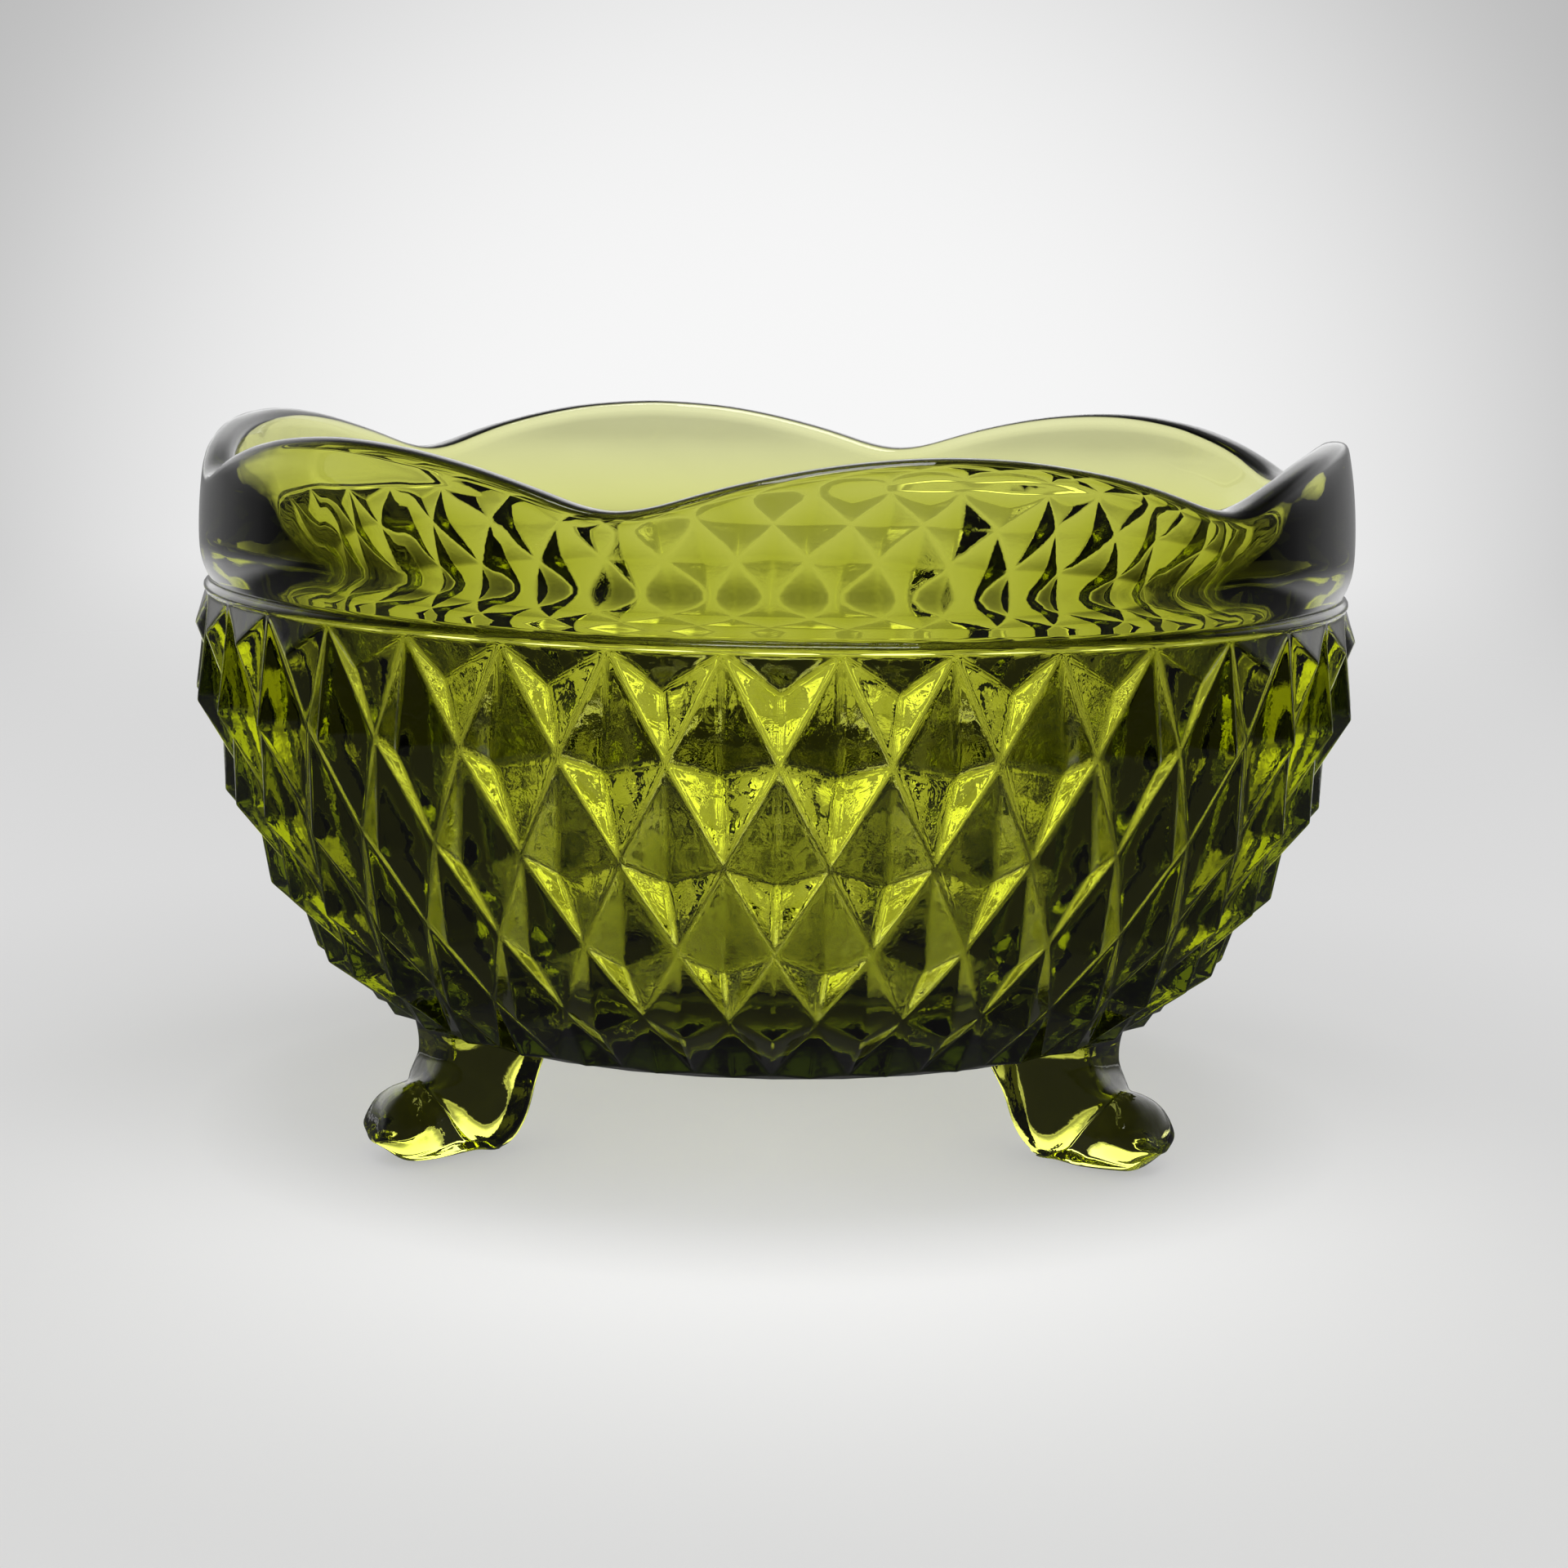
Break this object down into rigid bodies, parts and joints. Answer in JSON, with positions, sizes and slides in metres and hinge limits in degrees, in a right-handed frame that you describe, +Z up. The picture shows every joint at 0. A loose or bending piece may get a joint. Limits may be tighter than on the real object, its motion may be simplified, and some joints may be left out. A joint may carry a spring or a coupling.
{
  "type": "footed glass dish",
  "caption": "Round pressed glass dish with diamond facets outside, a scalloped rim and short toed feet; holds sweets or small things.",
  "frame": {"origin": "on the bowl's axis, in the plane of the three soles", "axes": "+Z up along the bowl's axis, -Y towards the front, where two of the three feet stand"},
  "size_m": [0.15, 0.15, 0.0915],
  "materials": {
    "olive_glass": "fire-polished transparent olive green glass"
  },
  "bodies": {
    "root": {"scalloped_rim": "olive_glass", "shoulder_ring": "olive_glass", "diamond_wall": "olive_glass", "bowl_floor": "olive_glass", "foot_front_left": "olive_glass", "foot_front_right": "olive_glass", "foot_rear": "olive_glass"}
  },
  "joints": []
}
